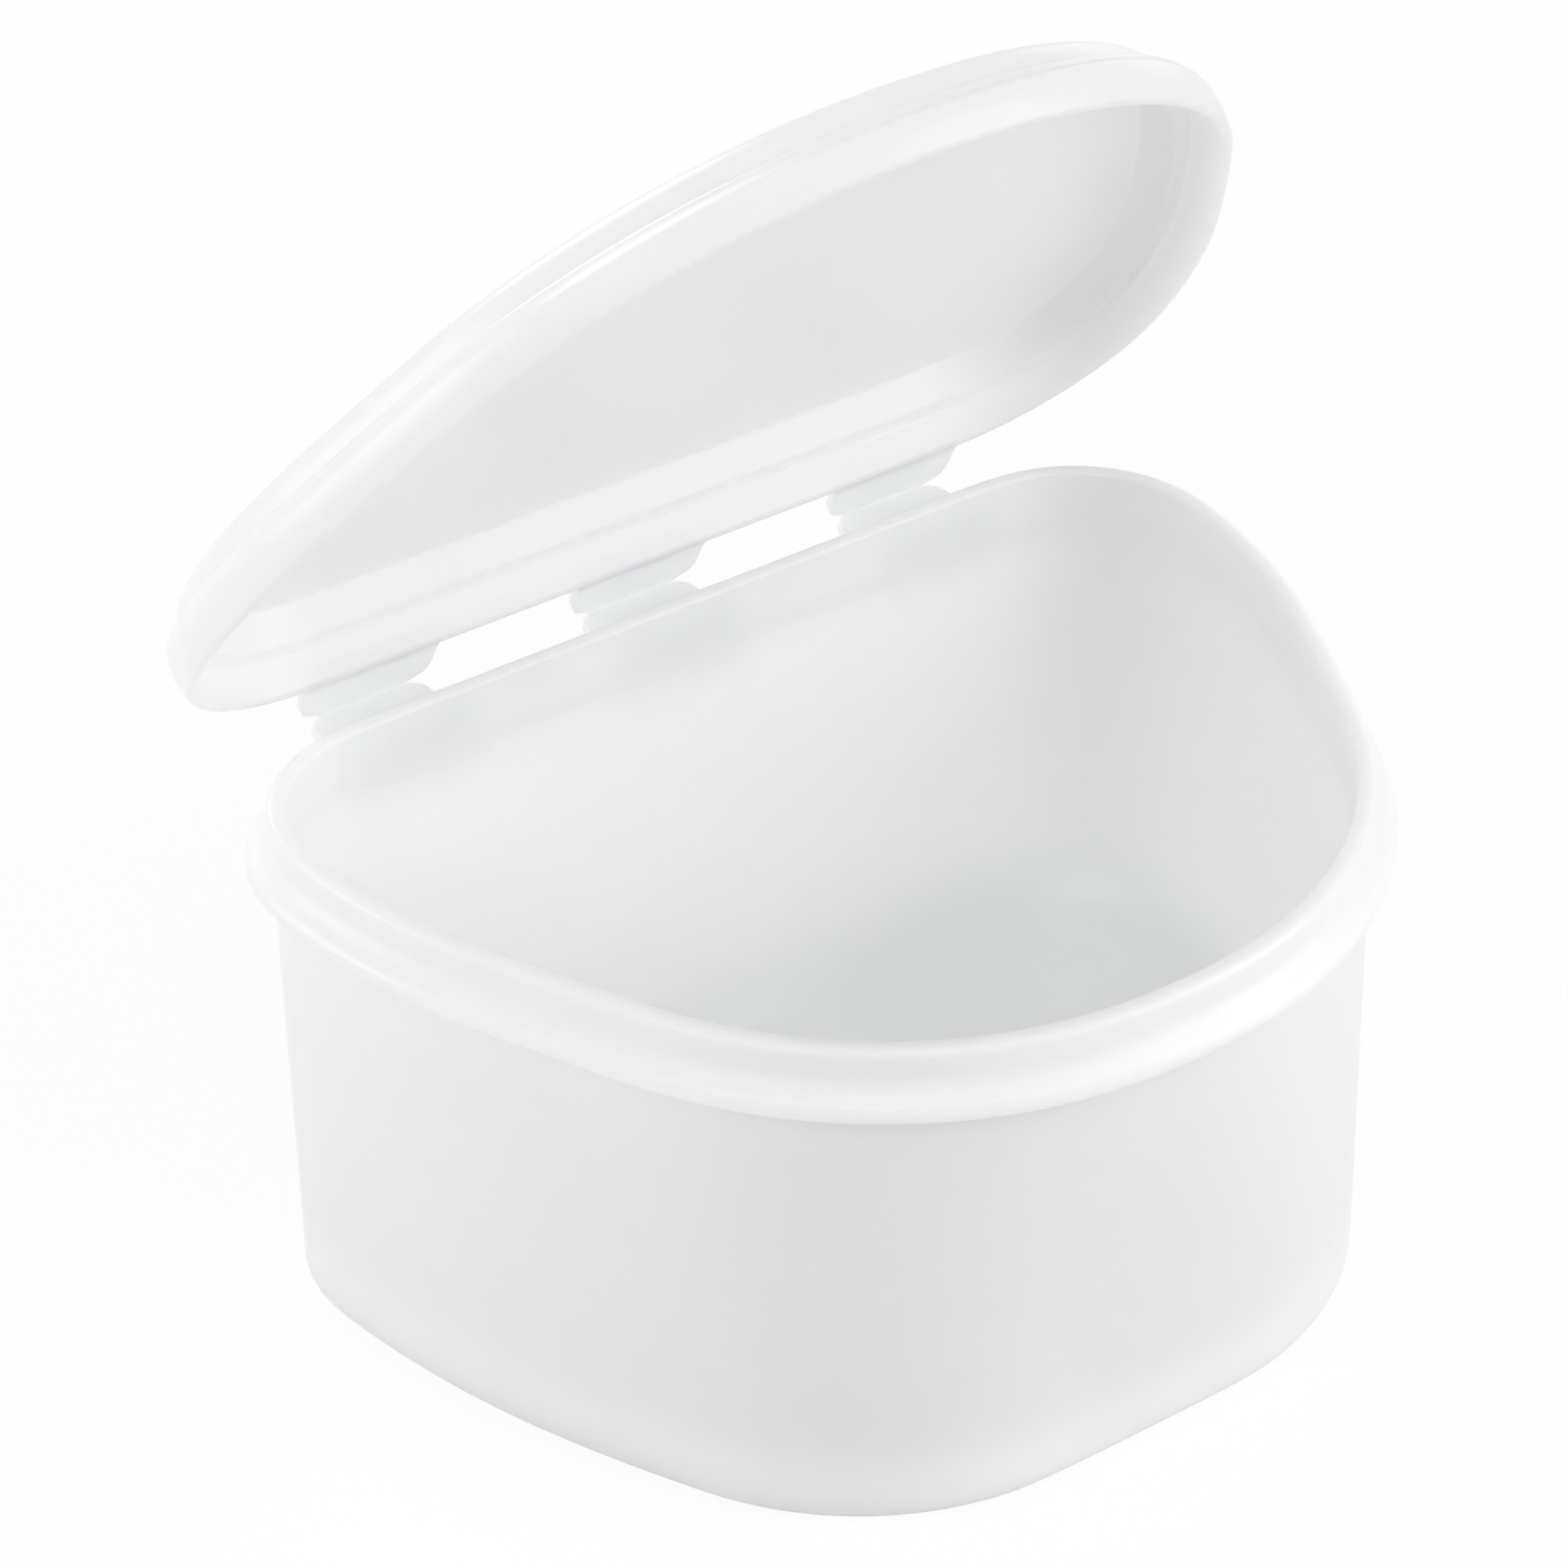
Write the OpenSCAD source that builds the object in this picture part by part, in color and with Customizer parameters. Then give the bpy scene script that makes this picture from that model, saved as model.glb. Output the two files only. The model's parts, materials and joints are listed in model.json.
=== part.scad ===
// Denture case: a white moulded bowl and its lid, joined along the straight
// back edge by three flexible straps. Millimetres, X along the hinge, Y towards
// the back, Z up. The origin is on the underside, under the middle of the rim.

/* [Rim outline] */
// Width of the case over its collar
rim_width = 93.2; // [90:0.1:100]
// Distance of the back edge behind the origin at the rim
rim_back_y = 34.6; // [33.8:0.1:36]
// Radius of the rear corners at the rim
rim_corner_r = 13.4; // [12:0.1:14.5]
// Direction turned through by a rear corner at the rim, in degrees
rim_corner_turn = 92; // [88:1:95]
// Radius of the side sweep behind the flank at the rim
rim_shoulder_r = 53; // [45:1:60]
// Direction of the flat flank at the rim, in degrees
rim_flank_turn = 114; // [112:1:116]
// Radius of the bowed front at the rim
rim_bow_r = 38.2; // [36:0.1:40]
// Half length of the flat at the middle of the front at the rim
rim_front_half = 1.5; // [1:0.1:4]

/* [Base outline] */
// Distance of each side at the base inside the side at the rim
base_taper = 0.9; // [0.5:0.1:1.5]
// Distance of the back edge behind the origin at the base
base_back_y = 33.4; // [32.6:0.1:34]
// Radius of the rear corners at the base
base_corner_r = 12.5; // [11.5:0.1:13.5]
// Direction turned through by a rear corner at the base, in degrees
base_corner_turn = 96; // [93:1:98]
// Radius of the side sweep behind the flank at the base
base_shoulder_r = 86; // [78:1:92]
// Direction of the flat flank at the base, in degrees
base_flank_turn = 116; // [114:1:117]
// Radius of the front corners at the base
base_bow_r = 27.8; // [26:0.1:29]
// Half length of the flat at the middle of the front at the base
base_front_half = 9; // [7:0.1:11]

/* [Bowl] */
// Height of the bowl from the underside to the top of its collar
bowl_h = 47.2; // [40:0.1:55]
// Thickness of the collar at the mouth
collar_t = 1.7; // [1.3:0.1:2.2]
// Thickness of the walls
wall_t = 1.5; // [1.2:0.1:2]
// Thickness of the floor
floor_t = 1.6; // [1.2:0.1:2.4]
// Rounding where the walls turn under the base
foot_r = 2; // [1:0.1:3]
// Rounding where the walls meet the floor inside
floor_r = 6; // [3:0.1:7]
// Radius of the round bead under the collar
bead_r = 1.6; // [1.2:0.1:1.8]
// Distance of the bead's centre below the top of the collar
bead_drop = 4.3; // [4:0.1:5]
// Distance of the bead's centre outside the collar's face
bead_out = 0.25; // [0.1:0.05:0.5]
// Distance of the wall's top inside the collar's face
wall_inset = 0.3; // [0.1:0.05:0.6]

/* [Lid] */
// Distance of the lid's lower edge below the top of the closed collar
lid_overlap = 2.8; // [2:0.1:3]
// Gap between the collar and the skirt that goes round it
skirt_gap = 0.5; // [0.3:0.05:0.8]
// Gap between the top of the collar and the ledge above it
ledge_gap = 0.4; // [0.2:0.05:0.8]
// Width of the ledge inside the lid
ledge_w = 1.7; // [1:0.1:2.5]
// Distance of the skirt's fullest face outside the collar's face
skirt_out = 2.7; // [2.4:0.05:3.2]
// Height of the skirt
skirt_h = 4.7; // [4.3:0.1:5.5]
// Distance of the crown's wall inside the skirt's fullest face
crown_set = 2.4; // [1.8:0.1:2.6]
// Height of the crown above the skirt
crown_h = 3.2; // [2.8:0.1:4.5]
// Thickness of the lid's top
lid_t = 1.6; // [1.2:0.1:2]
// How far the lift edge stands out at the front of the skirt
lift_out = 0.45; // [0:0.05:0.8]
// Height of the lift edge above the lid's lower edge
lift_h = 3.6; // [3:0.1:3.9]
// Direction at which the lift edge starts, in degrees
lift_from = 125; // [120:1:135]
// Turn over which the lift edge grows to its full width, in degrees
lift_turn = 30; // [20:1:40]

/* [Straps] */
// Distance between the middles of neighbouring straps
strap_pitch = 27.1; // [20:0.1:28]
// Width of a strap's leaf on the bowl
tub_leaf_w = 11.4; // [10:0.1:13]
// Width of a strap's leaf on the lid
lid_leaf_w = 13; // [11:0.1:14]
// Width of the thin fold between the leaves
film_w = 8.4; // [7:0.1:9.6]
// Thickness of a leaf
leaf_t = 0.8; // [0.6:0.05:1]
// Radius of the rounded film on the fold line
film_r = 0.25; // [0.2:0.01:0.3]
// Distance of the fold line behind the collar's back face
fold_out = 6.8; // [6.3:0.1:8]
// Distance of the fold line above the bead's centre
fold_up = 0.68; // [0.64:0.02:0.8]

/* [Pose] */
// Angle by which the lid stands open, in degrees
lid_open = 53.5; // [0:0.5:120]

/* [Hidden] */

// Whites of the moulding, a little darker where it is thick and matt
bowl_white = [0.93, 0.935, 0.94];
lid_white = [0.94, 0.94, 0.95];
strap_white = [0.90, 0.91, 0.92];

// Steps along each round stretch of an outline
corner_steps = 10;
shoulder_steps = 4;
bow_steps = 10;

// Half length of the straight back edge at the rim and at the base
rim_back_half = rim_width/2 - rim_corner_r;
base_back_half = rim_width/2 - base_taper - base_corner_r;

// Direction of the middle of the front, where the right half outline ends
front_turn = 180;

// Outlines as back half, back place, corner radius and turn, shoulder radius,
// flank turn, bow radius and front half
rim = [rim_back_half, rim_back_y, rim_corner_r, rim_corner_turn,
    rim_shoulder_r, rim_flank_turn, rim_bow_r, rim_front_half];
base = [base_back_half, base_back_y, base_corner_r, base_corner_turn,
    base_shoulder_r, base_flank_turn, base_bow_r, base_front_half];

// Heights of the bowl
bead_z = bowl_h - bead_drop;
bead_start = acos(-(bead_out + wall_inset)/bead_r);
bead_end = 55;
wall_top = bead_z - bead_r*sin(bead_start);

// Heights of the closed lid
lid_low = bowl_h - lid_overlap;
ledge_z = bowl_h + ledge_gap;
skirt_top = lid_low + skirt_h;
crown_top = skirt_top + crown_h;
ceiling_z = crown_top - lid_t;
crown_n = skirt_out - crown_set;
skirt_in = skirt_gap + 1;

// The fold line and the leaves that meet it
fold_y = rim_back_y + fold_out;
fold_z = bead_z + fold_up;
leaf_gap = 0.08;
end_gap = 0.1;
film_play = 0.05;
tub_root_y = rim_back_y + 1.3;
tub_root_z = bead_z + 0.44;
lid_root_y = rim_back_y + 2.1;
strap_xs = [-strap_pitch, 0, strap_pitch];

// Outward direction and direction of travel at a heading, in degrees, counted
// clockwise from +X at the middle of the back
function outward(h) = [sin(h), cos(h)];
function along(h) = [cos(h), -sin(h)];

// A station is a point of the right half outline and its heading
function arc_stations(p, r, h0, h1, steps) = [for (i = [1:steps])
    let (h = h0 + (h1 - h0)*i/steps) [p + r*(outward(h) - outward(h0)), h]];

function end_point(stations) = stations[len(stations) - 1][0];

// Length of the flat flank that lets the outline close
function flank_length(o) = (o[0] + o[2]*sin(o[3]) + o[4]*(sin(o[5]) - sin(o[3]))
    - o[6]*sin(o[5]) - o[7])/(-cos(o[5]));

function half_outline(o) =
    let (start = [o[0], o[1]])
    let (corner = arc_stations(start, o[2], 0, o[3], corner_steps))
    let (shoulder = arc_stations(end_point(corner), o[4], o[3], o[5], shoulder_steps))
    let (flank_end = end_point(shoulder) + flank_length(o)*along(o[5]))
    let (bow = arc_stations(flank_end, o[6], o[5], front_turn, bow_steps))
    concat([[start, 0]], corner, shoulder, [[flank_end, o[5]]], bow);

rim_stations = half_outline(rim);
base_stations = half_outline(base);

// Stations part of the way from the base outline to the rim outline
function wall_stations(share) = [for (i = [0:len(rim_stations) - 1])
    base_stations[i] + share*(rim_stations[i] - base_stations[i])];

// Share of the front lift edge at a heading: none on the flanks, full in front
function lift_share(h) =
    let (t = max(0, min(1, (h - lift_from)/lift_turn))) t*t*(3 - 2*t);

// Closed ring of points at an offset and a height, with the lift edge added
function ring(stations, offset, z, lift) =
    let (right = [for (s = stations)
        let (p = s[0] + (offset + lift*lift_share(s[1]))*outward(s[1])) [p[0], p[1], z]])
    concat(right, [for (i = [len(right) - 1:-1:0]) [-right[i][0], right[i][1], z]]);

function bowl_ring(p) =
    ring(wall_stations(min(1, p[1]/wall_top)), p[0], p[1], 0);

function lid_ring(p) = ring(rim_stations, p[0], p[1], len(p) > 2 ? p[2] : 0);

// Points of a round stretch of a cross-section, as offset and height
function round_part(centre, r, from, to, steps) = [for (i = [0:steps])
    let (a = from + (to - from)*i/steps) centre + r*[cos(a), sin(a)]];

// Solid wall through rings of equal point count, flat at the first and last
module shell(rings) {
    n = len(rings[0]);
    m = len(rings);
    walls = [for (k = [0:m - 2], i = [0:n - 1])
        let (j = (i + 1) % n)
        each [[k*n + i, k*n + j, (k + 1)*n + j],
            [k*n + i, (k + 1)*n + j, (k + 1)*n + i]]];
    first = [for (i = [n - 1:-1:0]) i];
    last = [for (i = [0:n - 1]) (m - 1)*n + i];
    polyhedron([for (r = rings) each r], concat(walls, [first, last]), convexity = 6);
}

// Cross-section of the bowl, from the underside over the mouth to the floor
bowl_section = concat(
    round_part([-foot_r, foot_r], foot_r, -90, 0, 4),
    round_part([bead_out, bead_z], bead_r, -bead_start, bead_end, 7),
    [[0.45, bead_z + bead_r + 0.15], [0.1, bead_z + bead_r + 0.6]],
    [[0, bead_z + bead_r + 1.1]],
    round_part([-collar_t*0.4, bowl_h - collar_t*0.4], collar_t*0.4, 0, 90, 3),
    round_part([-collar_t*0.7, bowl_h - collar_t*0.3], collar_t*0.3, 90, 180, 3),
    [[-wall_t - wall_inset, wall_top]],
    round_part([-wall_t - floor_r, floor_t + floor_r], floor_r, 0, -90, 5));

// Cross-section of the closed lid, from its ceiling round the lip to its top
lid_section = [
    [crown_n - lid_t - 1.5, ceiling_z],
    [crown_n - lid_t - 0.8, ceiling_z - 0.5],
    [skirt_gap - ledge_w - 0.1, ledge_z + 0.5],
    [skirt_gap - ledge_w, ledge_z],
    [skirt_gap, ledge_z],
    [skirt_gap + 0.1, ledge_z - 0.8],
    [skirt_in - 0.4, lid_low + 1.1],
    [skirt_in, lid_low + 0.35],
    [skirt_in + 0.4, lid_low],
    [skirt_out - 0.5, lid_low + 0.1, lift_out/2],
    [skirt_out - 0.25, lid_low + 0.6, lift_out],
    [skirt_out - 0.05, lid_low + 1.5, lift_out],
    [skirt_out, lid_low + 2.4, lift_out],
    [skirt_out - 0.12, lid_low + lift_h - 0.15, lift_out],
    [skirt_out - 0.25, lid_low + lift_h],
    [skirt_out - 0.5, skirt_top - 0.55],
    [skirt_out - 0.8, skirt_top - 0.15],
    [skirt_out - 1.3, skirt_top],
    [crown_n, skirt_top],
    [crown_n - 0.15, crown_top - 1.7],
    [crown_n - 0.5, crown_top - 0.8],
    [crown_n - 1.2, crown_top - 0.25],
    [crown_n - 2.4, crown_top]];

// Turns what is modelled on the closed lid to where the lid stands
module on_lid() {
    translate([0, fold_y, fold_z]) rotate([-lid_open, 0, 0])
        translate([0, -fold_y, -fold_z]) children();
}

// Tab seen from above: square at its root, with rounded corners at the fold
module tab(w, from, to) {
    r = (w - film_w)/2;
    translate([-w/2, from]) square([w, to - r - from]);
    translate([-film_w/2, from]) square([film_w, to - from]);
    for (side = [-1, 1])
        translate([side*film_w/2, to - r]) circle(r, $fn = 48);
}

// Leaf of a strap: a section across the fold, cut to the tab's plan
module leaf(w, from, play) {
    difference() {
        intersection() {
            translate([0, 0, fold_z - 5]) linear_extrude(10)
                tab(w, from, fold_y - end_gap);
            rotate([90, 0, 90]) linear_extrude(w + 2, center = true) children();
        }
        rotate([0, 90, 0]) translate([-fold_z, fold_y, 0])
            cylinder(r = film_r + play, h = w + 2, center = true, $fn = 48);
    }
}

// Space in the bead that holds the root of a leaf
module tub_root(x) {
    translate([x - tub_leaf_w/2, tub_root_y, tub_root_z - leaf_t])
        cube([tub_leaf_w, 3, leaf_t]);
}

// Space in the skirt that holds the root of a leaf
module lid_root(x) {
    translate([x - lid_leaf_w/2, lid_root_y, lid_low - 1])
        cube([lid_leaf_w, 3, leaf_t + 1]);
}

module tub() {
    color(bowl_white) difference() {
        shell([for (p = bowl_section) bowl_ring(p)]);
        for (x = strap_xs) tub_root(x);
    }
}

module lid() {
    color(lid_white) on_lid() difference() {
        shell([for (p = lid_section) lid_ring(p)]);
        for (x = strap_xs) lid_root(x);
    }
}

module tub_leaf(x) {
    top = fold_z - leaf_gap;
    color(strap_white) translate([x, 0, 0]) leaf(tub_leaf_w, tub_root_y, 0)
        polygon([[tub_root_y, tub_root_z - leaf_t], [tub_root_y, tub_root_z],
            [rim_back_y + 2.2, tub_root_z], [fold_y - 0.8, top], [fold_y, top],
            [fold_y, top - leaf_t*0.55], [fold_y - 0.5, top - leaf_t],
            [rim_back_y + 2.2, tub_root_z - leaf_t]]);
}

module lid_leaf(x) {
    low = fold_z + leaf_gap;
    color(strap_white) on_lid() translate([x, 0, 0])
        leaf(lid_leaf_w, lid_root_y, film_play)
            polygon([[lid_root_y, lid_low], [lid_root_y, lid_low + leaf_t],
                [rim_back_y + 2.8, lid_low + leaf_t], [fold_y - 0.5, low + leaf_t],
                [fold_y, low + leaf_t*0.55], [fold_y, low], [fold_y - 0.8, low],
                [rim_back_y + 2.8, lid_low]]);
}

module film(x) {
    color(strap_white) translate([x, fold_y, fold_z]) rotate([0, 90, 0])
        cylinder(r = film_r, h = film_w, center = true, $fn = 48);
}

module tub_leaf_left() { tub_leaf(strap_xs[0]); }
module tub_leaf_middle() { tub_leaf(strap_xs[1]); }
module tub_leaf_right() { tub_leaf(strap_xs[2]); }
module film_left() { film(strap_xs[0]); }
module film_middle() { film(strap_xs[1]); }
module film_right() { film(strap_xs[2]); }
module lid_leaf_left() { lid_leaf(strap_xs[0]); }
module lid_leaf_middle() { lid_leaf(strap_xs[1]); }
module lid_leaf_right() { lid_leaf(strap_xs[2]); }

tub();
tub_leaf_left();
tub_leaf_middle();
tub_leaf_right();
film_left();
film_middle();
film_right();
lid();
lid_leaf_left();
lid_leaf_middle();
lid_leaf_right();
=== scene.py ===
"""Looks of a white moulded denture case, standing open: bowl, lid and three strap hinges."""

import json
from collections import namedtuple
from math import cos, radians, sin

import bmesh
import bpy
from mathutils import Matrix, Vector


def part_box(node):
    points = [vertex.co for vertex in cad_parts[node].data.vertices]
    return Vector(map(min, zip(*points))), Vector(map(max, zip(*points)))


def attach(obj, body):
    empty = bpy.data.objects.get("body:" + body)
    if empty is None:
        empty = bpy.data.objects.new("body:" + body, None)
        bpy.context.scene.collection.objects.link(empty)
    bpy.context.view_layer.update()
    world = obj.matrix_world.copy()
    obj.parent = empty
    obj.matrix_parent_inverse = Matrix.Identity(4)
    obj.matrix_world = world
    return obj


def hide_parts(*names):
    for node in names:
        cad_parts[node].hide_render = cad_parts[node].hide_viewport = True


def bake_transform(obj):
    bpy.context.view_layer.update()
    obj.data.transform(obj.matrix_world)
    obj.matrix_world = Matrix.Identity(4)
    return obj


MM = 0.001
UP = Vector((0, 0, 1))

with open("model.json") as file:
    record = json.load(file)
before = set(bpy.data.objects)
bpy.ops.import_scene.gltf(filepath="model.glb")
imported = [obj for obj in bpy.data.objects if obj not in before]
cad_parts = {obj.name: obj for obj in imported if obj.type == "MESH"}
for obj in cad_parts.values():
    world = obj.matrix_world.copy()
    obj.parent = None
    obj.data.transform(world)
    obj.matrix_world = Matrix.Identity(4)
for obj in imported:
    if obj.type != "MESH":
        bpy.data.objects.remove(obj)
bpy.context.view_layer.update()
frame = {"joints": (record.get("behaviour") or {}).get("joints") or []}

# ---------------------------------------------------------------- sizes, in millimetres

# Seen from above: the arcs' radii, and the headings in degrees at which they meet
Outline = namedtuple(
    "Outline", "width back_y corner_r corner_turn shoulder_r flank_turn bow_r front_half"
)
RIM = Outline(93.2, 34.6, 13.4, 92, 53, 114, 38.2, 1.5)
BASE = Outline(91.4, 33.4, 12.5, 96, 86, 116, 27.8, 9)

BOWL_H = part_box("tub")[1].z / MM
COLLAR_T = 1.7
WALL_T = 1.5
FLOOR_T = 1.6
WALL_INSET = 0.3
BEAD_R = 1.6
BEAD_Z = BOWL_H - 4.3
BEAD_OUT = 1.85

LID_LOW = BOWL_H - 2.8
LEDGE_Z = BOWL_H + 0.4
SKIRT_TOP = LID_LOW + 4.7
CROWN_TOP = SKIRT_TOP + 3.2
CEILING_Z = CROWN_TOP - 1.6
SKIRT_GAP = 0.5
SKIRT_OUT = 2.7
CROWN_OUT = 0.3
LIFT_OUT = 0.45
LIFT_FROM, LIFT_OVER = 125, 30  # degrees from straight back

HINGE = frame["joints"][0]
FOLD = Vector(HINGE["pos_m"]) / MM
LID_OPEN = -HINGE["range_deg"][0]
LEAF_T = 0.8
FILM_T = 0.3
FILM_W = 8.4
STRAP_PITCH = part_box("film_right")[0].x / MM + FILM_W / 2
TUB_LEAF_W = 11.4
LID_LEAF_W = 13.0
LEAF_EDGE_R = 0.09
FOLD_HALF = 0.1
BEND_LENGTH = 0.5

# How finely the outline is drawn, and how often it is smoothed
BACK_STEPS, CORNER_STEPS, SHOULDER_STEPS, FLANK_STEPS, BOW_STEPS = 14, 14, 8, 5, 24
SMOOTHINGS = 4
MIRROR_MERGE = 0.001

ROUNDING_STEPS = 6
PIECE_MERGE = 0.0005

# ---------------------------------------------------------------- outlines


def outward(heading):
    """Direction out of the outline, the heading counted clockwise from +X at the back."""
    return Vector((sin(radians(heading)), cos(radians(heading)), 0))


def along(heading):
    return Vector((cos(radians(heading)), -sin(radians(heading)), 0))


def run(bm, tip, heading, length, steps):
    """Draws a straight stretch on from a vertex."""
    last = bmesh.ops.spin(bm, geom=[tip], dvec=along(heading) * length / steps,
                          cent=tip.co, axis=UP, angle=0, steps=steps)
    return last["geom_last"][0]


def turn(bm, tip, radius, start, end, steps):
    """Draws an arc on from a vertex, turning clockwise."""
    centre = tip.co - radius * outward(start)
    last = bmesh.ops.spin(bm, geom=[tip], cent=centre, axis=-UP,
                          angle=radians(end - start), steps=steps)
    return last["geom_last"][0]


def flank_length(o):
    """Length of the straight flank that lets the outline close."""
    corner, flank = sin(radians(o.corner_turn)), sin(radians(o.flank_turn))
    reach = (o.width / 2 - o.corner_r + o.corner_r * corner
             + o.shoulder_r * (flank - corner) - o.bow_r * flank - o.front_half)
    return -reach / cos(radians(o.flank_turn))


def draw_outline(o):
    """The closed outline as a list of places and outward directions."""
    bm = bmesh.new()
    middle = bm.verts.new((0, o.back_y, 0))
    tip = run(bm, middle, 0, o.width / 2 - o.corner_r, BACK_STEPS)
    tip = turn(bm, tip, o.corner_r, 0, o.corner_turn, CORNER_STEPS)
    tip = turn(bm, tip, o.shoulder_r, o.corner_turn, o.flank_turn, SHOULDER_STEPS)
    tip = run(bm, tip, o.flank_turn, flank_length(o), FLANK_STEPS)
    tip = turn(bm, tip, o.bow_r, o.flank_turn, 180, BOW_STEPS)
    run(bm, tip, 180, o.front_half, 1)
    bmesh.ops.mirror(bm, geom=bm.verts[:] + bm.edges[:], matrix=Matrix.Identity(4),
                     merge_dist=MIRROR_MERGE, axis="X")
    for _ in range(SMOOTHINGS):
        bmesh.ops.smooth_vert(bm, verts=bm.verts, factor=0.5,
                              use_axis_x=True, use_axis_y=True, use_axis_z=False)
    places = [v.co.copy() for v in walk(middle)]
    bm.free()
    count = len(places)
    normals = []
    for i in range(count):
        way = (places[(i + 1) % count] - places[i - 1]).normalized()
        normals.append(Vector((-way.y, way.x, 0)))
    return places, normals


def walk(start):
    """Vertices of a closed loop in order, setting off towards +X."""
    loop, seen = [start], {start}
    vert = max((e.other_vert(start) for e in start.link_edges), key=lambda v: v.co.x)
    while vert:
        loop.append(vert)
        seen.add(vert)
        ahead = [e.other_vert(vert) for e in vert.link_edges]
        vert = next((v for v in ahead if v not in seen), None)
    return loop


rim_places, rim_out = draw_outline(RIM)
base_places, base_out = draw_outline(BASE)


def on_rim(i, offset, z):
    return rim_places[i] + offset * rim_out[i] + z * UP


def on_wall(i, offset, z):
    """A point on the drafted wall, between the base outline and the rim outline."""
    share = min(1, z / (BEAD_Z - BEAD_R))
    place = base_places[i].lerp(rim_places[i], share)
    return place + offset * base_out[i].lerp(rim_out[i], share).normalized() + z * UP


def lift(i, amount):
    """How far the lift edge stands out at a station: nothing on the flanks, all in front."""
    facing = rim_out[i].angle(Vector((0, 1, 0)))
    t = min(1, max(0, (facing - radians(LIFT_FROM)) / radians(LIFT_OVER)))
    return amount * t * t * (3 - 2 * t)


# ---------------------------------------------------------------- meshes

# One corner of a section: how far outside the outline, how high, how much it is rounded,
# and how far the lift edge stands out there
Ring = namedtuple("Ring", "offset z rounding lift", defaults=(0, 0))


def sweep(rings, place):
    """A closed shell: the outline is drawn at each ring of the section, then rounded there."""
    bm = bmesh.new()
    station = bm.verts.layers.int.new("station")
    count = len(rim_places)
    first = bmesh.ops.create_circle(bm, segments=count, radius=1)["verts"]
    for i, vert in enumerate(first):
        vert[station] = i
    edges = bm.edges[:]
    rounded = []
    for k, ring in enumerate(rings):
        if k:
            grown = bmesh.ops.extrude_edge_only(bm, edges=edges)["geom"]
            first = [g for g in grown if isinstance(g, bmesh.types.BMVert)]
            found = set(first)
            edges = [g for g in grown if isinstance(g, bmesh.types.BMEdge)
                     and g.verts[0] in found and g.verts[1] in found]
        for vert in first:
            i = vert[station]
            vert.co = place(i, ring.offset + lift(i, ring.lift), ring.z)
        if ring.rounding:
            rounded.append((ring.rounding, list(edges)))
    bmesh.ops.holes_fill(bm, edges=[e for e in bm.edges if e.is_boundary], sides=0)
    bmesh.ops.recalc_face_normals(bm, faces=bm.faces)
    for rounding, ring_edges in rounded:
        bmesh.ops.bevel(bm, geom=ring_edges, offset=rounding, offset_type="OFFSET",
                        segments=ROUNDING_STEPS, profile=0.5, affect="EDGES", material=-1,
                        clamp_overlap=False)
    return bm


def finish_piece(bm, name, material):
    """Turns a mesh drawn in millimetres into a smooth piece in metres."""
    bmesh.ops.remove_doubles(bm, verts=bm.verts, dist=PIECE_MERGE)
    bmesh.ops.recalc_face_normals(bm, faces=bm.faces)
    bmesh.ops.scale(bm, vec=(MM, MM, MM), verts=bm.verts)
    mesh = bpy.data.meshes.new(name)
    bm.to_mesh(mesh)
    bm.free()
    for face in mesh.polygons:
        face.use_smooth = True
    mesh.materials.append(material)
    piece = bpy.data.objects.new(name, mesh)
    bpy.context.scene.collection.objects.link(piece)
    return piece


# How far inside the outline a flat is drawn before it is filled in one face
FLAT_IN = 9

BOWL_SECTION = [
    Ring(-FLAT_IN, 0),
    Ring(0, 0, 2.0),
    Ring(-WALL_INSET, BEAD_Z - BEAD_R, 0.35),
    Ring(BEAD_OUT, BEAD_Z - BEAD_R, 1.0),
    Ring(BEAD_OUT, BEAD_Z + 0.1, 0.65),
    Ring(0.1, BEAD_Z + 1.3, 1.0),
    Ring(0, BOWL_H, 0.75),
    Ring(-COLLAR_T, BOWL_H, 0.35),
    Ring(-WALL_T - WALL_INSET, BEAD_Z - BEAD_R, 2.5),
    Ring(-WALL_T, FLOOR_T, 6.0),
    Ring(-FLAT_IN, FLOOR_T),
]

LID_SECTION = [
    Ring(-FLAT_IN, CEILING_Z),
    Ring(-2.8, CEILING_Z, 0.3),
    Ring(SKIRT_GAP - 1.7, LEDGE_Z, 0.35),
    Ring(SKIRT_GAP, LEDGE_Z, 0.4),
    Ring(SKIRT_GAP + 0.15, LID_LOW + 1.9, 0.5),
    Ring(SKIRT_GAP + 1, LID_LOW, 0.4),
    Ring(SKIRT_OUT - 0.35, LID_LOW, 0.4, LIFT_OUT / 2),
    Ring(SKIRT_OUT, LID_LOW + 2.2, 0.9, LIFT_OUT),
    Ring(SKIRT_OUT - 0.22, LID_LOW + 3.45, 0, LIFT_OUT),
    Ring(SKIRT_OUT - 0.3, LID_LOW + 3.6),
    Ring(SKIRT_OUT - 0.75, SKIRT_TOP, 0.4),
    Ring(CROWN_OUT, SKIRT_TOP, 0.2),
    Ring(CROWN_OUT - 0.25, CROWN_TOP, 2.0),
    Ring(-FLAT_IN, CROWN_TOP),
]


def open_lid(bm):
    """Turns what is drawn on the closed lid to where the lid stands."""
    bmesh.ops.rotate(bm, cent=FOLD, verts=bm.verts,
                     matrix=Matrix.Rotation(radians(-LID_OPEN), 3, "X"))


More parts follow.
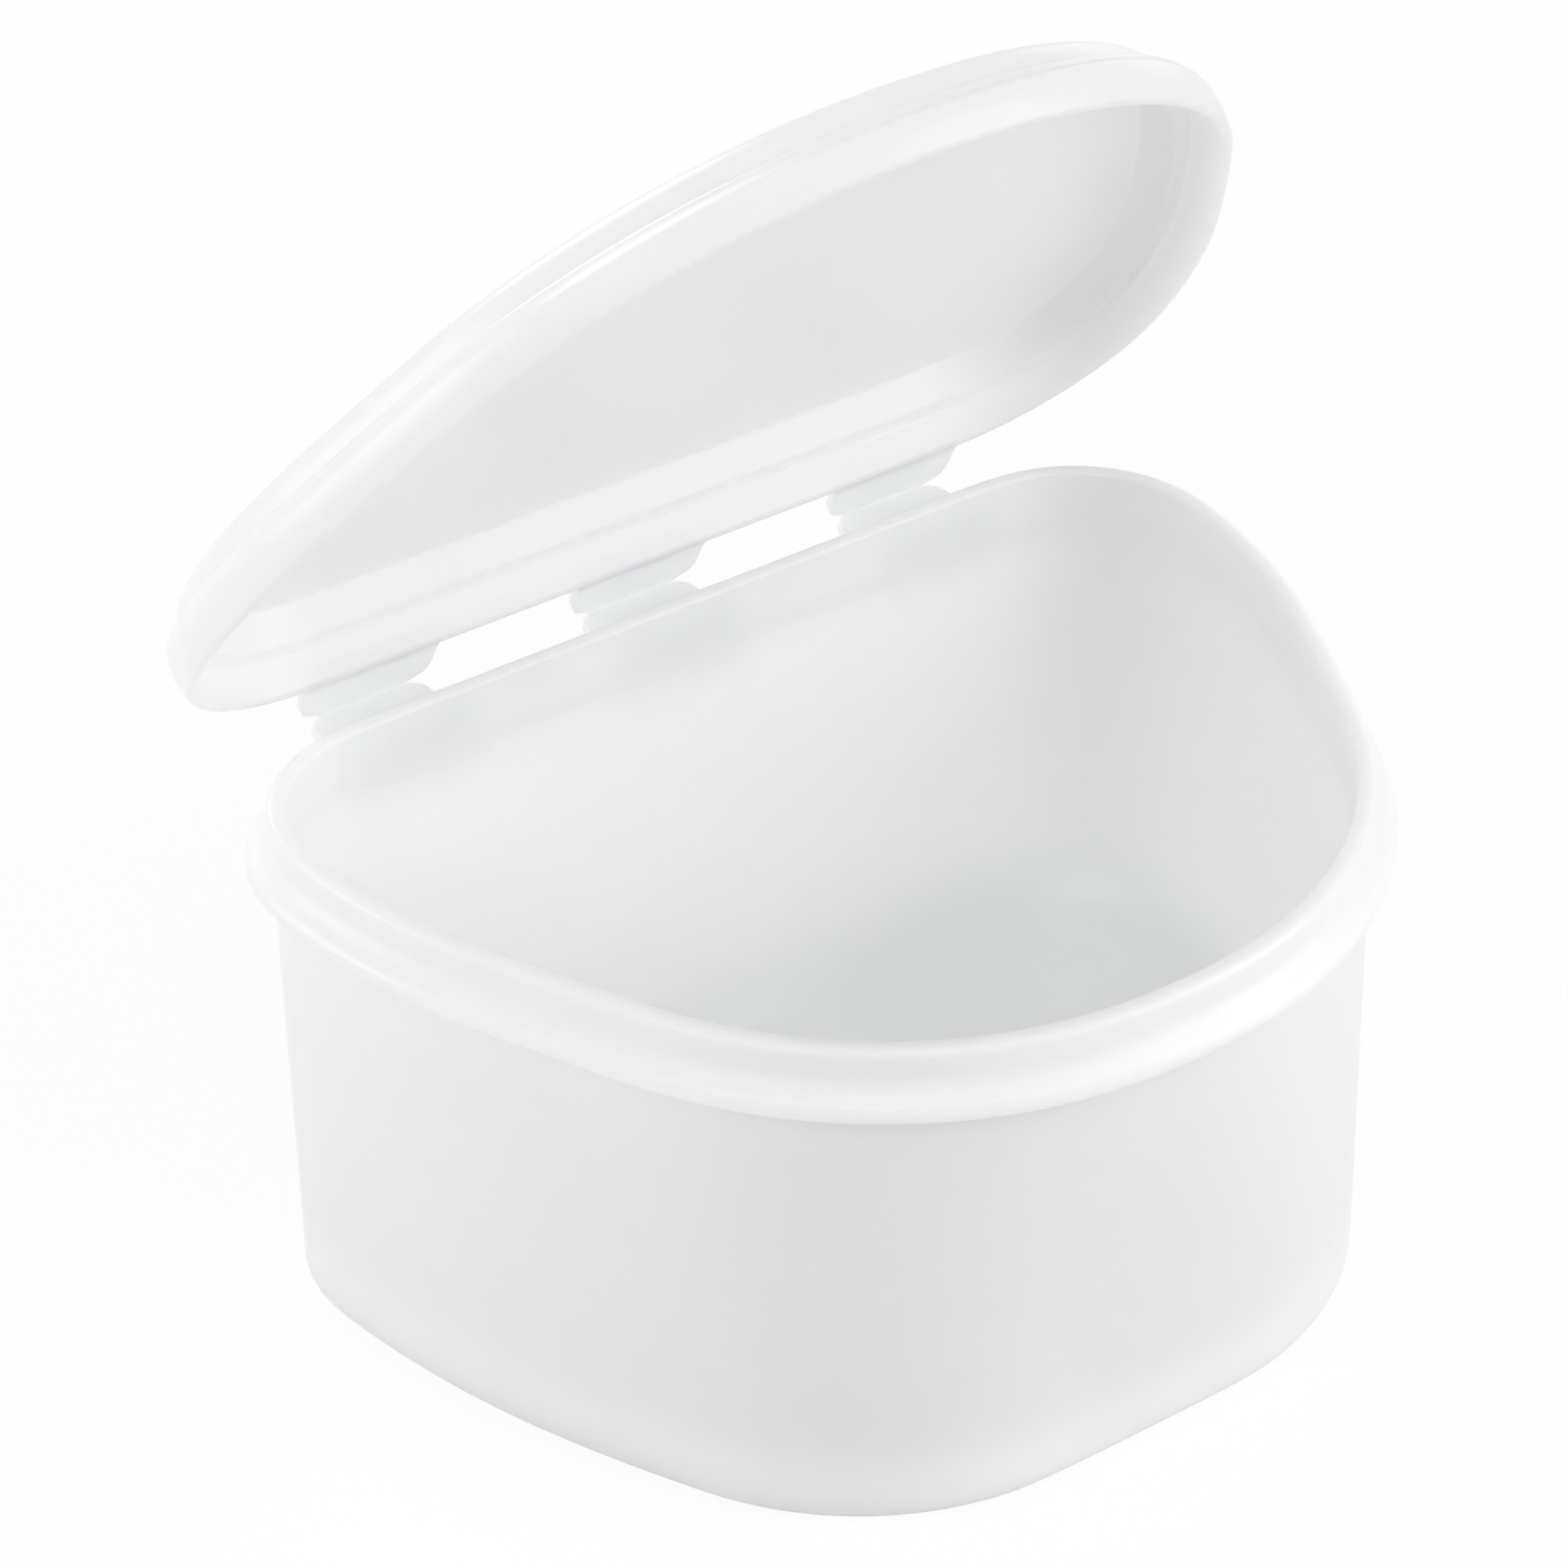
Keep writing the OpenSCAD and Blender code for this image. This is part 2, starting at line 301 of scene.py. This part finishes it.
# Depth of a strap's upper face below the fold line, and its thickness, at places along it:
# from the bowl's bead over the fold to the lid's skirt, as it lies flat when moulded
StrapRow = namedtuple("StrapRow", "s depth thick")
ROOT_TUB = FOLD.y - (RIM.back_y + 1.3)
ROOT_LID = FOLD.y - (RIM.back_y + 1.5)
STRAP_ROWS = [
    StrapRow(-ROOT_TUB, 0.24, LEAF_T),
    StrapRow(-4.4, 0.24, LEAF_T),
    StrapRow(-2.6, 0.17, LEAF_T),
    StrapRow(-1.6, 0.12, LEAF_T),
    StrapRow(-0.9, 0.08, LEAF_T * 0.98),
    StrapRow(-0.5, 0.08, LEAF_T * 0.85),
    StrapRow(-0.28, 0.04, LEAF_T * 0.55),
    StrapRow(-0.12, -0.08, FILM_T),
    StrapRow(0, -0.12, FILM_T * 0.9),
    StrapRow(0.12, -0.08, FILM_T),
    StrapRow(0.28, 0.04, LEAF_T * 0.55),
    StrapRow(0.5, 0.08, LEAF_T * 0.85),
    StrapRow(0.9, 0.09, LEAF_T * 0.98),
    StrapRow(1.7, 0.26, LEAF_T),
    StrapRow(2.6, 0.46, LEAF_T),
    StrapRow(3.7, 0.67, LEAF_T),
    StrapRow(4.3, 0.75, LEAF_T),
    StrapRow(4.85, 0.812, LEAF_T),
    StrapRow(ROOT_LID, 1.0, LEAF_T),
]


def strap_half_width(s):
    """Half width of a strap at a place along it: tabs with rounded corners at the fold."""
    full = (TUB_LEAF_W if s < 0 else LID_LEAF_W) / 2
    round_r = full - FILM_W / 2
    inside = max(0, round_r - max(0, abs(s) - FOLD_HALF))
    return FILM_W / 2 + (round_r ** 2 - inside ** 2) ** 0.5


def strap_bend(s):
    """Angle by which a place on the strap is folded up from flat."""
    t = min(1, max(0, s / BEND_LENGTH + 0.5))
    return radians(180 - LID_OPEN) * t * t * (3 - 2 * t)


def make_strap(name, x):
    """Draws a strap flat, with its thickness and rounded rims, then folds it up."""
    bm = bmesh.new()
    bmesh.ops.create_grid(bm, x_segments=12, y_segments=len(STRAP_ROWS) - 1, size=0.5)
    row_of = {}
    for vert in bm.verts:
        row_of[vert] = round((vert.co.y + 0.5) * (len(STRAP_ROWS) - 1))
    for vert, k in row_of.items():
        row = STRAP_ROWS[k]
        vert.co = Vector((2 * vert.co.x * strap_half_width(row.s), row.s, -row.depth))
    grown = bmesh.ops.extrude_face_region(bm, geom=bm.faces[:])["geom"]
    under = [g for g in grown if isinstance(g, bmesh.types.BMVert)]
    for vert in under:
        row = min(STRAP_ROWS, key=lambda r: abs(r.s - vert.co.y))
        vert.co.z -= row.thick
    bmesh.ops.recalc_face_normals(bm, faces=bm.faces)
    rims = [e for e in bm.edges if e.calc_face_angle(0) > radians(50)]
    bmesh.ops.bevel(bm, geom=rims, offset=LEAF_EDGE_R, offset_type="OFFSET", segments=3,
                    profile=0.5, affect="EDGES", material=-1, clamp_overlap=True)
    for vert in bm.verts:
        s, h = vert.co.y, vert.co.z
        bend = strap_bend(s)
        vert.co = Vector((x + vert.co.x, FOLD.y + s * cos(bend) - h * sin(bend),
                          FOLD.z + s * sin(bend) + h * cos(bend)))
    return finish_piece(bm, name, strap_white)


# ---------------------------------------------------------------- materials

CLOUD_SCALE, SCUFF_SCALE, SKIN_SCALE, FLOW_SCALE = 38, 260, 500, 55
SCUFF_SPREAD = 0.03
FLOW_SHARE = 5
RIPPLE = 0.3
RIPPLE_DEPTH = 0.000006
PLASTIC_IOR = 1.49
GLOSS_LEVEL = 0.25
BOWL_GLOW, LID_GLOW, STRAP_GLOW = 0.8, 0.9, 0.55

# Heights in metres over which the foot stops light, its wear ends and the lip lets light in
FOOT_SPAN = (0.0015, 0.009)
WEAR_SPAN = (0.0001, 0.0016)
LIP_SPAN = (0.0484, 0.0498)
INWARD_SPAN = (0.002, 0.02)
FOOT_SHADE = 0.3
WEAR = 0.22
LIP_GLOW = 0.05


def link(tree, a, out, b, into):
    tree.links.new(a.outputs[out], b.inputs[into])


def noise(tree, coords, scale, detail, roughness=0.5):
    node = tree.nodes.new("ShaderNodeTexNoise")
    node.inputs["Scale"].default_value = scale
    node.inputs["Detail"].default_value = detail
    node.inputs["Roughness"].default_value = roughness
    link(tree, coords, "Object", node, "Vector")
    return node


def ramp(tree, source, low, high, low_at=0.35, high_at=0.65):
    """Maps a noise between two colours."""
    node = tree.nodes.new("ShaderNodeValToRGB")
    node.color_ramp.elements[0].position = low_at
    node.color_ramp.elements[1].position = high_at
    node.color_ramp.elements[0].color = (*low, 1)
    node.color_ramp.elements[1].color = (*high, 1)
    link(tree, source, "Fac", node, "Fac")
    return node


def graded(tree, source, out, span, values):
    """Maps a span of a value between two values."""
    node = tree.nodes.new("ShaderNodeMapRange")
    node.inputs["From Min"].default_value, node.inputs["From Max"].default_value = span
    node.inputs["To Min"].default_value, node.inputs["To Max"].default_value = values
    link(tree, source, out, node, "Value")
    return node


def moulded_white(name, thin, thick, gloss, glow, depth):
    """White polypropylene: cloudy tone where the wall is thin or thick, fine scuffs in its
    gloss, the faint ripple that a moulded surface has, and light that passes through it."""
    material = bpy.data.materials.new(name)
    material.use_nodes = True
    tree = material.node_tree
    plastic = tree.nodes["Principled BSDF"]
    coords = tree.nodes.new("ShaderNodeTexCoord")

    clouds = noise(tree, coords, CLOUD_SCALE, 3)
    tone = ramp(tree, clouds, thin, thick)
    link(tree, tone, "Color", plastic, "Base Color")

    scuffs = noise(tree, coords, SCUFF_SCALE, 4, 0.6)
    shine = ramp(tree, scuffs, (gloss - SCUFF_SPREAD,) * 3, (gloss + SCUFF_SPREAD,) * 3,
                 0.3, 0.7)
    link(tree, shine, "Color", plastic, "Roughness")

    skin = noise(tree, coords, SKIN_SCALE, 1)
    flow = noise(tree, coords, FLOW_SCALE, 2)
    both = tree.nodes.new("ShaderNodeMath")
    both.operation = "MULTIPLY_ADD"
    both.inputs[1].default_value = FLOW_SHARE
    link(tree, flow, "Fac", both, 0)
    link(tree, skin, "Fac", both, 2)
    bump = tree.nodes.new("ShaderNodeBump")
    bump.inputs["Strength"].default_value = RIPPLE
    bump.inputs["Distance"].default_value = RIPPLE_DEPTH
    link(tree, both, "Value", bump, "Height")
    link(tree, bump, "Normal", plastic, "Normal")

    plastic.inputs["IOR"].default_value = PLASTIC_IOR
    plastic.inputs["Specular IOR Level"].default_value = GLOSS_LEVEL
    plastic.inputs["Subsurface Weight"].default_value = glow
    plastic.inputs["Subsurface Radius"].default_value = (depth, depth, depth)
    plastic.inputs["Subsurface Scale"].default_value = 1.0
    return material


def rest_on_ground(material, glow):
    """Stops the light that would pass out through the floor the case stands on, most of all
    inside the bowl, and scuffs the foot."""
    tree = material.node_tree
    plastic = tree.nodes["Principled BSDF"]
    coords = tree.nodes["Texture Coordinate"]
    place = tree.nodes.new("ShaderNodeSeparateXYZ")
    link(tree, coords, "Object", place, "Vector")
    facing = tree.nodes.new("ShaderNodeVectorMath")
    facing.operation = "DOT_PRODUCT"
    link(tree, coords, "Object", facing, 0)
    link(tree, coords, "Normal", facing, 1)
    low = graded(tree, place, "Z", FOOT_SPAN, (1, 0))
    inward = graded(tree, facing, "Value", INWARD_SPAN, (1, FOOT_SHADE))
    stopped = tree.nodes.new("ShaderNodeMath")
    stopped.operation = "MULTIPLY"
    link(tree, low, "Result", stopped, 0)
    link(tree, inward, "Result", stopped, 1)
    through = graded(tree, stopped, "Value", (0, 1), (glow, 0))
    link(tree, through, "Result", plastic, "Subsurface Weight")

    wear = graded(tree, place, "Z", WEAR_SPAN, (WEAR, 0))
    rough = tree.nodes.new("ShaderNodeMath")
    rough.operation = "ADD"
    tree.links.new(plastic.inputs["Roughness"].links[0].from_socket, rough.inputs[0])
    link(tree, wear, "Result", rough, 1)
    link(tree, rough, "Value", plastic, "Roughness")


def join_straps(material, glow):
    """Lets hardly any light into the lip that the straps run into, as they would block it."""
    tree = material.node_tree
    place = tree.nodes.new("ShaderNodeSeparateXYZ")
    link(tree, tree.nodes["Texture Coordinate"], "Object", place, "Vector")
    through = graded(tree, place, "Z", LIP_SPAN, (LIP_GLOW, glow))
    link(tree, through, "Result", tree.nodes["Principled BSDF"], "Subsurface Weight")


bowl_white = moulded_white("bowl_white", (0.925, 0.935, 0.935), (0.938, 0.943, 0.943),
                           0.32, BOWL_GLOW, 0.012)
rest_on_ground(bowl_white, BOWL_GLOW)
lid_white = moulded_white("lid_white", (0.91, 0.91, 0.925), (0.92, 0.92, 0.935),
                          0.31, LID_GLOW, 0.017)
join_straps(lid_white, LID_GLOW)
strap_white = moulded_white("strap_white", (0.93, 0.945, 0.95), (0.94, 0.955, 0.96),
                            0.34, STRAP_GLOW, 0.006)

# ---------------------------------------------------------------- pieces

tub = finish_piece(sweep(BOWL_SECTION, on_wall), "tub_shell", bowl_white)
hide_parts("tub")
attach(tub, "bowl")

lid_mesh = sweep(LID_SECTION, on_rim)
open_lid(lid_mesh)
lid = finish_piece(lid_mesh, "lid_shell", lid_white)
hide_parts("lid")
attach(lid, "cover")

# The fold bends where it crosses the plane halfway between the two leaves
for side, x in (("left", -STRAP_PITCH), ("middle", 0), ("right", STRAP_PITCH)):
    strap = make_strap(f"strap_{side}", x)
    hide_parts(f"tub_leaf_{side}", f"film_{side}", f"lid_leaf_{side}")
    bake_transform(strap)

# ---------------------------------------------------------------- floor, lamps and camera

# Metres, and tones from 0 to 1
FLOOR_REACH = 3
FLOOR_DROP = 0.00005
FLOOR_TONE = 0.9
SHADE_SPAN = (0.12, 0.45)
SHADED_WHITE = 0.92
FILL = 0.12
LAMP_DISTANCE = 0.8
LAMP_SIZE = 0.4
LAMPS_AIM = Vector((0, 0, 0.05))
SENSOR = 36

# Lamp, degrees round from the front, degrees up, watts
LAMPS = [
    ("left_low", -120, 12, 1.85),
    ("left_front", -70, 38, 1.3),
    ("front", -32, 38, 0.98),
    ("front_right", 10, 38, 0.82),
    ("right_low", 46, 12, 1.75),
    ("right_high", 45, 38, 1.45),
    ("right_back", 120, 12, 0.45),
    ("back", 180, 28, 2.2),
    ("top", 0, 80, 0.9),
]


def way_out(azimuth, elevation):
    """Direction away from the case, turned round it from the front and then up."""
    a, e = radians(azimuth), radians(elevation)
    return Vector((sin(a) * cos(e), -cos(a) * cos(e), sin(e)))


def seen_white(tree):
    """1 for rays that look at the surroundings: from the camera, in gloss or through glass."""
    path = tree.nodes.new("ShaderNodeLightPath")
    total = path.outputs["Is Camera Ray"]
    for ray in ("Is Glossy Ray", "Is Transmission Ray"):
        add = tree.nodes.new("ShaderNodeMath")
        add.operation = "ADD"
        add.use_clamp = True
        tree.links.new(total, add.inputs[0])
        tree.links.new(path.outputs[ray], add.inputs[1])
        total = add.outputs[0]
    return total


def make_floor():
    """White ground that shows the case's shadow near it and is plain white further out."""
    bm = bmesh.new()
    bmesh.ops.create_grid(bm, x_segments=2, y_segments=2, size=FLOOR_REACH)
    bmesh.ops.translate(bm, vec=(0, 0, -FLOOR_DROP), verts=bm.verts)
    mesh = bpy.data.meshes.new("floor")
    bm.to_mesh(mesh)
    bm.free()
    floor = bpy.data.objects.new("floor", mesh)
    bpy.context.scene.collection.objects.link(floor)
    material = bpy.data.materials.new("floor_white")
    material.use_nodes = True
    tree = material.node_tree
    tree.nodes.clear()
    matt = tree.nodes.new("ShaderNodeBsdfDiffuse")
    matt.inputs["Color"].default_value = (FLOOR_TONE, FLOOR_TONE, FLOOR_TONE, 1)
    glow = tree.nodes.new("ShaderNodeEmission")
    glow.inputs["Strength"].default_value = 1
    coords = tree.nodes.new("ShaderNodeTexCoord")
    away = tree.nodes.new("ShaderNodeVectorMath")
    away.operation = "LENGTH"
    link(tree, coords, "Object", away, 0)
    unshaded = graded(tree, away, "Value", SHADE_SPAN, (SHADED_WHITE, 1))
    share = tree.nodes.new("ShaderNodeMath")
    share.operation = "MULTIPLY"
    tree.links.new(seen_white(tree), share.inputs[0])
    link(tree, unshaded, "Result", share, 1)
    mix = tree.nodes.new("ShaderNodeMixShader")
    out = tree.nodes.new("ShaderNodeOutputMaterial")
    link(tree, share, "Value", mix, "Fac")
    tree.links.new(matt.outputs[0], mix.inputs[1])
    tree.links.new(glow.outputs[0], mix.inputs[2])
    link(tree, mix, "Shader", out, "Surface")
    mesh.materials.append(material)


def make_world():
    """Weak light from all round, seen as plain white."""
    world = bpy.data.worlds.new("studio")
    bpy.context.scene.world = world
    world.use_nodes = True
    tree = world.node_tree
    tree.nodes.clear()
    fill = tree.nodes.new("ShaderNodeBackground")
    fill.inputs["Color"].default_value = (1, 1, 1, 1)
    fill.inputs["Strength"].default_value = FILL
    white = tree.nodes.new("ShaderNodeBackground")
    white.inputs["Color"].default_value = (1, 1, 1, 1)
    white.inputs["Strength"].default_value = 1
    mix = tree.nodes.new("ShaderNodeMixShader")
    out = tree.nodes.new("ShaderNodeOutputWorld")
    tree.links.new(seen_white(tree), mix.inputs[0])
    tree.links.new(fill.outputs[0], mix.inputs[1])
    tree.links.new(white.outputs[0], mix.inputs[2])
    tree.links.new(mix.outputs[0], out.inputs[0])


def make_lamp(name, azimuth, elevation, power):
    """A soft square lamp that faces the case."""
    lamp = bpy.data.lights.new(name, "AREA")
    lamp.shape = "SQUARE"
    lamp.size = LAMP_SIZE
    lamp.energy = power
    holder = bpy.data.objects.new(name, lamp)
    bpy.context.scene.collection.objects.link(holder)
    way = way_out(azimuth, elevation)
    holder.location = LAMPS_AIM + LAMP_DISTANCE * way
    holder.rotation_euler = way.to_track_quat("Z", "Y").to_euler()


def make_camera(azimuth, elevation, distance, target, focal_pixels, frame_pixels):
    """The photograph's camera: turned about the case, looking down on it."""
    way = way_out(azimuth, elevation)
    data = bpy.data.cameras.new("camera")
    data.sensor_width = SENSOR
    data.lens = focal_pixels / frame_pixels * data.sensor_width
    data.clip_start = 0.01
    camera = bpy.data.objects.new("camera", data)
    bpy.context.scene.collection.objects.link(camera)
    camera.location = (Vector(target) + distance * way) * MM
    camera.rotation_euler = way.to_track_quat("Z", "Y").to_euler()
    bpy.context.scene.camera = camera


make_floor()
make_world()
for lamp in LAMPS:
    make_lamp(*lamp)
make_camera(azimuth=-35.87, elevation=34.42, distance=511.08,
            target=(25.708, 54.304, 6.621), focal_pixels=6733.4, frame_pixels=1932)
bpy.context.scene.view_settings.view_transform = "Standard"
